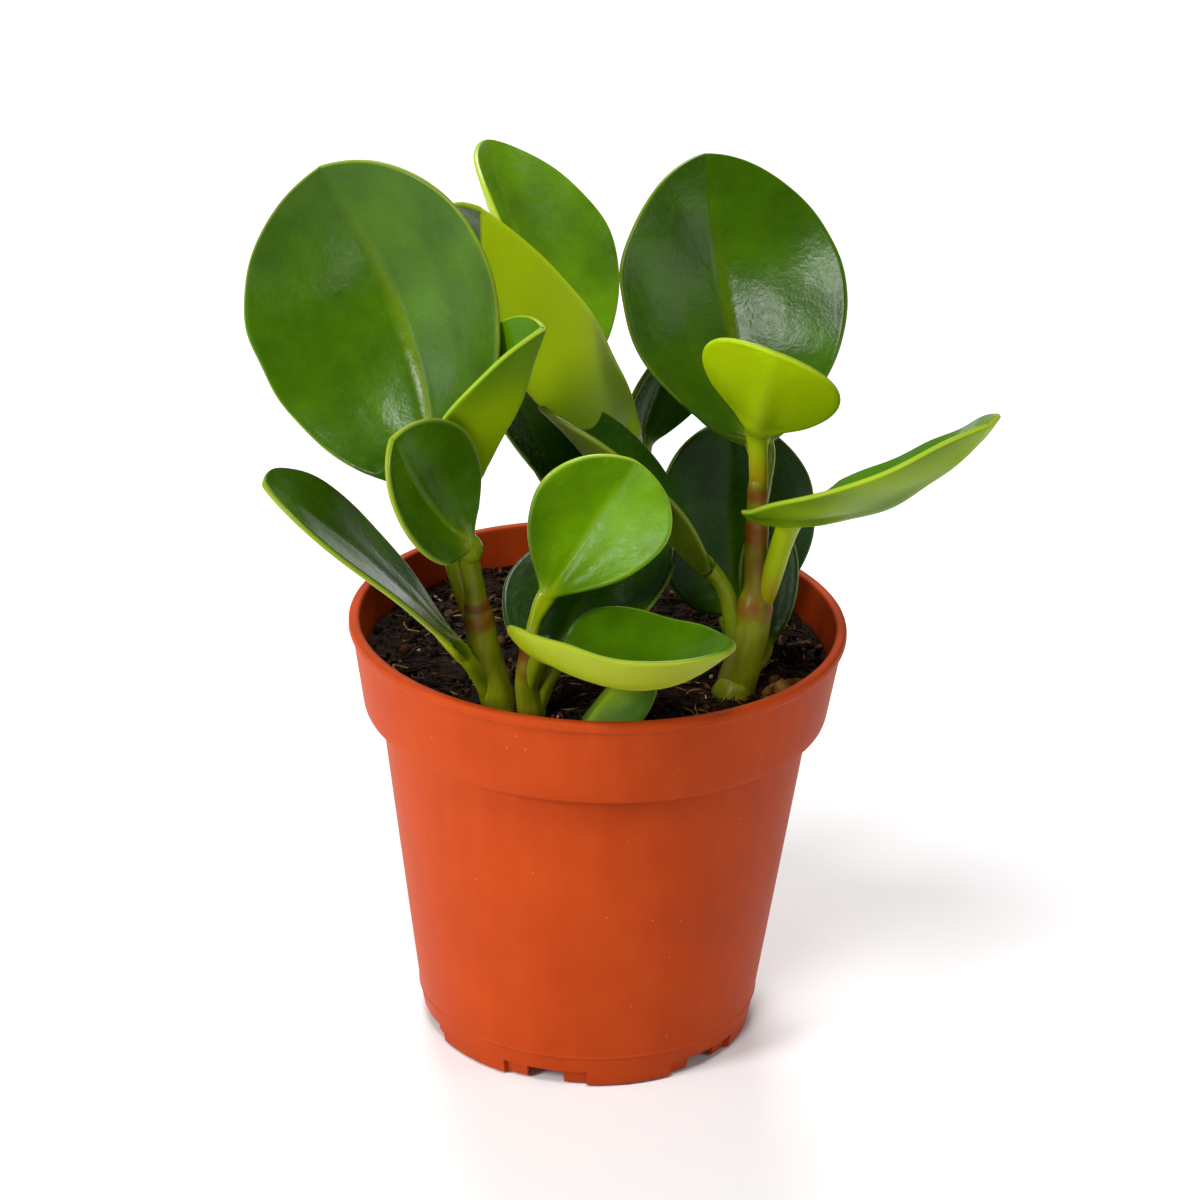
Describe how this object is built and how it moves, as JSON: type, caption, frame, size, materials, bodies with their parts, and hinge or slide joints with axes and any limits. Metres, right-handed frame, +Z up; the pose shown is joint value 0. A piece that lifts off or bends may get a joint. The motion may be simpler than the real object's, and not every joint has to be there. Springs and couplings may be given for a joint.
{
  "type": "potted peperomia",
  "caption": "Bushy houseplant with thick, glossy, rounded green leaves on short fleshy stems, growing in dark soil in a round tapered plastic nursery pot with a rolled rim band.",
  "frame": {"origin": "on the surface the pot stands on, under the middle of the whole plant's outline", "axes": "+Z up along the pot's axis, -Y towards the front, +X to the right seen from the front"},
  "size_m": [0.1502, 0.1304, 0.1946],
  "materials": {
    "terracotta_plastic": "moulded polypropylene, satin, terracotta orange",
    "potting_soil": "moist dark peat and fibre, rough",
    "stem_green_brown": "smooth fleshy stem, olive green with red-brown nodes",
    "leaf_green": "waxy, glossy, mid green",
    "leaf_dark_green": "waxy, glossy, dark green",
    "leaf_bright_green": "waxy, glossy, yellowish green of young leaves and undersides"
  },
  "bodies": {
    "root": {"pot": "terracotta_plastic", "soil": "potting_soil", "stem_left": "stem_green_brown", "stem_middle": "stem_green_brown", "stem_right": "stem_green_brown", "stem_back": "stem_green_brown", "leaf_left_large": "leaf_green", "leaf_left_folded": "leaf_bright_green", "leaf_left_front": "leaf_dark_green", "leaf_left_low": "leaf_green", "leaf_middle_round": "leaf_bright_green", "leaf_middle_low": "leaf_dark_green", "leaf_front": "leaf_green", "leaf_front_small": "leaf_green", "leaf_right_large": "leaf_green", "leaf_right_young": "leaf_bright_green", "leaf_right_outer": "leaf_green", "leaf_right_back": "leaf_dark_green", "leaf_right_narrow": "leaf_dark_green", "leaf_centre_arching": "leaf_dark_green", "leaf_centre_folded": "leaf_bright_green", "leaf_top_back": "leaf_green", "leaf_back_left": "leaf_dark_green", "leaf_back_right": "leaf_dark_green"}
  },
  "joints": []
}
